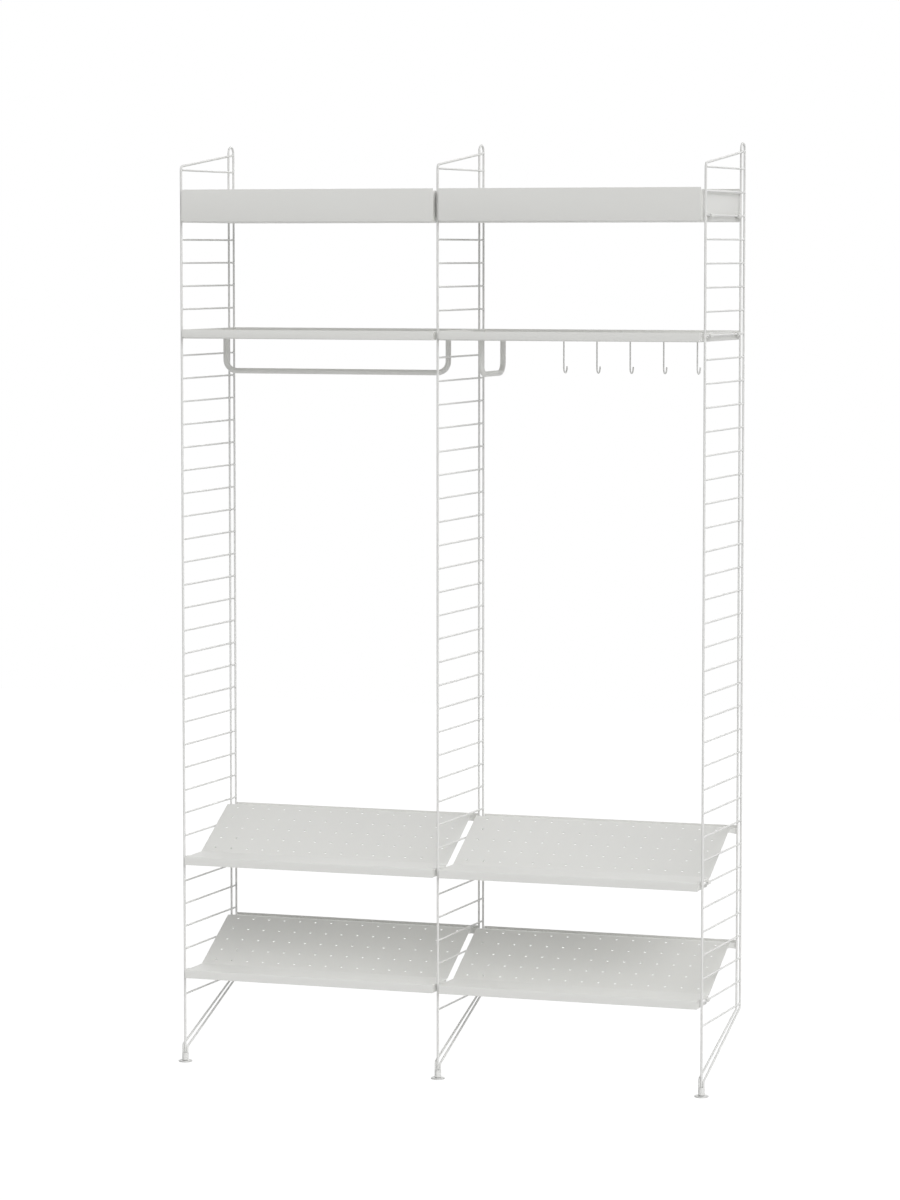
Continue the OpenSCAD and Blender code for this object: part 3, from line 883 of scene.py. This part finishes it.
def shoe_profile(rung_z):
    """Height and place of each fold of a shoe shelf, along the middle of its sheet."""
    size, shoe = chosen("sheet"), chosen("shoe")
    half = size.thickness / 2
    y0 = WIRE_LINE - size.front_out
    y1 = y0 + size.depth
    heel = rung_z + shoe.crest_rise - shoe.heel_drop
    flat = rung_z + shoe.toe_rise - half
    return [(y0 + half, rung_z + shoe.toe_rise - shoe.toe_lip), (y0 + half, flat),
            (y0 + shoe.toe_depth, flat), (y0 + shoe.crest_depth, rung_z + shoe.crest_rise - half),
            (y1 - half, heel - half), (y1 - half, heel + shoe.heel_lip)]


def height_along(profile, y):
    """Height of a shoe shelf's sheet at a place behind its flat part."""
    for (ya, za), (yb, zb) in zip(profile[2:], profile[3:5]):
        if ya <= y <= yb:
            return za + (zb - za) * (y - ya) / (yb - ya)
    raise RuntimeError("outside the slope")


def raise_ear(profile, x, way, y, lug_z):
    """An ear that stands on the heel's end and carries a lug up over its rung."""
    size = chosen("sheet")
    span, top = lug_fold(y, lug_z)
    ear = start_sheet((x, y, top - EAR_HEIGHT / 2), EAR_HEIGHT, size.lug_width, (0.0, math.pi / 2, 0.0))
    for place in span:
        pick("verts", y=at(place), z=at(top - EAR_HEIGHT))
        shift(z=height_along(profile, place) - (top - EAR_HEIGHT))
    pick("edges", z=at(top))
    fold_lug(way)
    pick("edges", z=at(top), x=at(x))
    pick("edges", z=at(top), x=at(x + way * size.lug_reach), more=True)
    round_folds(LUG_FOLD, steps=3)
    close()
    return ear


def fold_shoe_shelf(side, rung):
    """Folds a shoe shelf: lip, flat toe, slope, heel and upstand, then its end flanges and lugs."""
    size, shoe = chosen("sheet"), chosen("shoe")
    half = size.thickness / 2
    reach = SPACING / 2 - size.end_space
    middle_x = BAYS[side]
    ends = {-1: middle_x - reach + half, 1: middle_x + reach - half}
    rung_z = rung_height(rung)
    profile = shoe_profile(rung_z)
    (y0, lip_z), (_, flat), (fold_y, _), (crest_y, crest_z), (y1, heel_z), _ = profile
    shelf = start_sheet((middle_x, y0, (lip_z + flat) / 2), ends[1] - ends[-1], flat - lip_z,
                        (math.pi / 2, 0.0, 0.0))
    pick("edges", y=at(y0), z=at(flat))
    for (ya, za), (yb, zb) in zip(profile[1:], profile[2:]):
        extrude(y=yb - ya, z=zb - za)
    # End flanges under the toe
    toe_end = fold_y - (shoe.toe_lip - shoe.toe_rise) / 2
    toe_drop = shoe.toe_lip - size.thickness - half
    for place in (y0 + size.notch, toe_end):
        pick("faces", y=(y0, fold_y), z=at(flat))
        cut("Y", place)
    for way, x in ends.items():
        pick("edges", x=at(x), y=(y0 + size.notch, toe_end), z=at(flat))
        extrude(z=-size.notch)
        extrude(z=size.notch - toe_drop)
        pick("edges", x=at(x), y=at(y0 + size.notch), z=(flat - toe_drop, flat - size.notch))
        extrude(y=half + CORNER_GAP - size.notch)
        for drop in (size.notch, toe_drop):
            pick("verts", x=at(x), y=at(toe_end), z=at(flat - drop))
            shift(y=-shoe.toe_lip * drop / toe_drop)
    # End flanges under the heel
    run_y = crest_y - shoe.heel_run
    pick("faces", y=(fold_y, crest_y), z=(flat, crest_z))
    cut("Y", run_y)
    run_z = height_along(profile, run_y)
    end_y = y1 - size.notch
    end_z = height_along(profile, end_y)
    pick("faces", y=(crest_y, y1), z=(heel_z, crest_z))
    cut("Y", end_y)
    deep = heel_z + half - shoe.heel_flange
    for way, x in ends.items():
        pick("edges", x=at(x), y=(run_y, crest_y), z=(run_z, crest_z))
        pick("edges", x=at(x), y=(crest_y, end_y), z=(end_z, crest_z), more=True)
        extrude(z=-0.001)
        for place, height in ((crest_y, crest_z), (end_y, end_z)):
            pick("verts", x=at(x), y=at(place), z=at(height - 0.001))
            line = run_z + (deep - run_z) * (place - run_y) / (y1 - run_y)
            shift(z=line - height + 0.001)
        pick("faces", x=at(x), y=(crest_y, end_y))
        cut("Z", end_z - size.notch)
        pick("edges", x=at(x), y=at(end_y), z=(line, end_z - size.notch))
        extrude(y=size.notch - half - CORNER_GAP)
    lugs = [(ends[way], way, WIRE_LINE + y, rung_z + z) for way, y, z in lug_places(-size.stagger, SHOE_SHELF_RUNGS)]
    toe_lugs = [lug for lug in lugs if lug[3] < rung_z + 0.01]
    for lug in toe_lugs:
        hang_lug(*lug)
    # Folds, each with its own radius
    slope = math.atan2(crest_z - flat, crest_y - fold_y)
    fall = math.atan2(crest_z - heel_z, y1 - crest_y)
    radius = size.fold_radius + half
    for x in ends.values():
        pick("edges", x=at(x), y=(y0 + size.notch, toe_end), z=at(flat))
        round_folds(0.0009, steps=3)
    pick("edges", y=at(y0), z=at(flat))
    round_folds(radius)
    pick("edges", y=at(fold_y), z=at(flat))
    round_folds(shoe.toe_radius + half, slope, 6)
    for lug in toe_lugs:
        round_lug(*lug, 0.0008)
    pick("edges", y=at(crest_y), z=at(crest_z))
    round_folds(radius, slope + fall, 3)
    pick("edges", y=at(y1), z=at(heel_z))
    round_folds(radius, math.pi / 2 + fall)
    close()
    ears = [raise_ear(profile, *lug) for lug in lugs if lug not in toe_lugs]
    join([shelf] + ears)
    give_thickness(shelf)
    drill(shelf, [slope_drills(middle_x, profile, slope)])
    return shelf


def slope_drills(middle_x, profile, slope):
    """The grid of drills for a shoe shelf's slope."""
    size, shoe = chosen("sheet"), chosen("shoe")
    along = Vector((0.0, math.cos(slope), math.sin(slope)))
    start = Vector((middle_x - (shoe.columns - 1) / 2 * shoe.hole_pitch, profile[2][0],
                    profile[2][1] + size.thickness / 2)) + along * shoe.hole_start
    bpy.ops.mesh.primitive_cylinder_add(vertices=18, radius=shoe.hole / 2, depth=DRILL_LENGTH, location=start,
                                        rotation=(slope, 0.0, 0.0))
    drills = bpy.context.object
    repeat(drills, shoe.columns, (shoe.hole_pitch, 0.0, 0.0))
    repeat(drills, shoe.rows, (0.0, shoe.hole_pitch, 0.0))
    return drills


class HALL_OT_shoe_shelves(bpy.types.Operator):
    """Folds and perforates the four tilted shoe shelves"""

    bl_idname = "hall.shoe_shelves"
    bl_label = "Shoe shelves"

    def execute(self, context):
        pitch = chosen("panel").rung_pitch
        for side in BAYS:
            upper = fold_shoe_shelf(side, UPPER_SHOE_RUNG)
            tidy(upper, 30)
            lower = copy_piece(upper, z=(UPPER_SHOE_RUNG - LOWER_SHOE_RUNG) * pitch)
            for place, shelf in (("upper", upper), ("lower", lower)):
                hang_up(shelf, f"shoe_{place}_{side}", f"shoe_shelf_{place}_{side}")
        return {"FINISHED"}


# Rails and hooks


class HALL_OT_rails(bpy.types.Operator):
    """Bends the hanging rail and the side rail and screws them under their trays"""

    bl_idname = "hall.rails"
    bl_label = "Rails"

    def execute(self, context):
        fit = chosen("fitting")
        under, inside = low_tray_floor()
        bar = under - fit.rail_drop
        for rail, side in (("hanging_rail", "left"), ("side_rail", "right")):
            (xa, ya), (xb, yb) = rail_feet(rail)
            tube = bent_wire([(xa, ya, under), (xa, ya, bar), (xb, yb, bar), (xb, yb, under)],
                             [fit.tube_bend] * 2, fit.tube, 36, 12)
            tidy(tube)
            hand_over(tube, f"{rail}_tube", f"low_tray_{side}", "rail_coat", "rail_powder_coat", rail)
            head, high, thread = fit.screw_head / 2, fit.screw_head_height, fit.screw / 2
            profile = [(-fit.screw_length, thread * 0.8), (-fit.screw_length + 0.0005, thread), (0.0, thread),
                       (0.0, head - 0.0002), (0.0002, head), (high * 0.45, head * 0.97), (high * 0.8, head * 0.8),
                       (high, head * 0.5), (high, head * 0.36), (high * 0.45, head * 0.34)]
            screws = [turned_piece((x, y, inside - fit.screw_length), profile, 30) for x, y in rail_feet(rail)]
            pair = join(screws)
            tidy(pair)
            hand_over(pair, f"{rail}_screw_pair", f"low_tray_{side}", "screw_steel", "screw_steel",
                      f"{rail}_screws")
            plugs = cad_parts[f"{rail}_plugs"]
            plugs.data.materials.clear()
            plugs.data.materials.append(finish_named("screw_steel"))
        return {"FINISHED"}


class HALL_OT_coat_hooks(bpy.types.Operator):
    """Bends one coat hook with its head and copies it along the right low tray"""

    bl_idname = "hall.coat_hooks"
    bl_label = "Coat hooks"

    def execute(self, context):
        fit = chosen("fitting")
        under, inside = low_tray_floor()
        r = fit.hook_wire / 2
        y = WIRE_LINE + fit.hook_y
        bottom = under - fit.hook_drop + r
        tip = bottom + fit.hook_bend + fit.hook_tip + r
        places = hook_places()
        x = places[0]
        wire = bent_wire([(x, y, inside + 0.0005), (x, y, bottom), (x, y + 2 * fit.hook_bend, bottom),
                          (x, y + 2 * fit.hook_bend, tip)],
                         [fit.hook_bend - HAIR] * 2, fit.hook_wire, 20, 10)
        edit(wire)
        pick("edges", y=(y + fit.hook_bend, y + 3 * fit.hook_bend), z=at(tip))
        bpy.ops.mesh.bevel(offset=r * 0.9, segments=4, affect="EDGES")
        close()
        head = fit.hook_head / 2
        high = fit.hook_head_height
        cap = turned_piece((x, y, inside), [(0.0, head - 0.0003), (0.0003, head), (high * 0.5, head),
                                            (high * 0.85, head * 0.86), (high, head * 0.6)], 30)
        hook = join([wire, cap])
        tidy(hook)
        hooks = [hook] + [copy_piece(hook, x=place - x) for place in places[1:]]
        for number, piece in enumerate(hooks, 1):
            hand_over(piece, f"hook_{number}", f"coat_hook_{number}", "hook_coat", "wire_powder_coat",
                      f"coat_hook_{number}")
        return {"FINISHED"}


# The studio


# Each far lamp's way round from the front, height and spread, in degrees
LAMPS = {
    "front_high": (0, 45, 50), "top": (0, 72, 30), "right_front": (45, 25, 50), "right_high": (70, 45, 40),
    "back": (180, 30, 60),
}


# The camera's place, its tilt and its turn, solved from the wires and rungs
CAMERA_PLACE = (3.0785, -8.675822, 1.774119)
CAMERA_TILT, CAMERA_TURN = 0.0814, 0.3433


def add_lamp(name, strength):
    """A far soft lamp that shines on the object from its own side and height."""
    way, height, spread = map(math.radians, LAMPS[name])
    aside = Vector((math.sin(way) * math.cos(height), -math.cos(way) * math.cos(height), math.sin(height)))
    bpy.ops.object.light_add(type="SUN", location=aside * 4.0)
    lamp = bpy.context.object
    lamp.name = f"{name}_lamp"
    lamp.data.energy = strength
    lamp.data.angle = spread
    lamp.rotation_euler = aside.to_track_quat("Z", "Y").to_euler()


class HALL_OT_stage(bpy.types.Operator):
    """Lays the pale floor, lights the studio and sets up the camera"""

    bl_idname = "hall.stage"
    bl_label = "Studio"

    def execute(self, context):
        scene = context.scene
        levels = chosen("studio")
        bpy.ops.mesh.primitive_plane_add(size=14.0, location=(0.0, 0.0, -0.0002))
        floor = settle()
        floor.name = "studio_floor"
        floor.data.materials.append(floor_finish(chosen("finish").floor))
        world = scene.world or bpy.data.worlds.new("studio")
        scene.world = world
        world.use_nodes = True
        tree = world.node_tree
        seen = white_surround(tree)
        strength = seen + (1.0 - seen) * levels.fill
        light = tree.nodes["Background"]
        light.inputs["Color"].default_value = (1.0, 1.0, 1.0, 1.0)
        tree.links.new(strength.socket, light.inputs["Strength"])
        for name in LAMPS:
            add_lamp(name, getattr(levels, name))
        bpy.ops.object.camera_add(location=CAMERA_PLACE,
                                  rotation=(math.pi / 2 - CAMERA_TILT, 0.0, CAMERA_TURN))
        camera = context.object
        camera.name = "studio_camera"
        camera.data.lens = 128.033
        camera.data.sensor_width = 36.0
        camera.data.clip_end = 60.0
        scene.camera = camera
        scene.view_settings.view_transform = "Standard"
        return {"FINISHED"}


class HALL_PT_sidebar(bpy.types.Panel):
    """Lists the pieces of the hallway shelf"""

    bl_idname = "HALL_PT_sidebar"
    bl_label = "Hallway Shelf"
    bl_space_type = "VIEW_3D"
    bl_region_type = "UI"
    bl_category = "Hallway"

    def draw(self, context):
        for piece in PIECES:
            self.layout.operator(piece.bl_idname)
        for group in GROUPS:
            box = self.layout.box()
            sizes = getattr(context.scene, group)
            for name in sizes.__annotations__:
                box.prop(sizes, name)


GROUPS = {
    "hall_panel": PanelSizes,
    "hall_sheet": SheetSizes,
    "hall_shoe": ShoeSizes,
    "hall_fitting": FittingSizes,
    "hall_finish": FinishColours,
    "hall_studio": StudioLevels,
}
PIECES = (
    HALL_OT_front_wires, HALL_OT_rear_hairpins, HALL_OT_rungs, HALL_OT_foot_sleeves, HALL_OT_levelling_feet,
    HALL_OT_high_trays, HALL_OT_low_trays, HALL_OT_shoe_shelves, HALL_OT_rails, HALL_OT_coat_hooks,
    HALL_OT_stage,
)


def register():
    for piece in (*GROUPS.values(), *PIECES, HALL_PT_sidebar):
        bpy.utils.register_class(piece)
    for name, group in GROUPS.items():
        setattr(bpy.types.Scene, name, PointerProperty(type=group))


def unregister():
    for name in GROUPS:
        delattr(bpy.types.Scene, name)
    for piece in (HALL_PT_sidebar, *reversed(PIECES), *reversed(tuple(GROUPS.values()))):
        bpy.utils.unregister_class(piece)


def main():
    """Builds every piece in order."""
    register()
    for operator in (
        bpy.ops.hall.front_wires, bpy.ops.hall.rear_hairpins, bpy.ops.hall.rungs, bpy.ops.hall.foot_sleeves,
        bpy.ops.hall.levelling_feet, bpy.ops.hall.high_trays, bpy.ops.hall.low_trays,
        bpy.ops.hall.shoe_shelves, bpy.ops.hall.rails, bpy.ops.hall.coat_hooks, bpy.ops.hall.stage,
    ):
        operator()


if __name__ == "__main__":
    main()
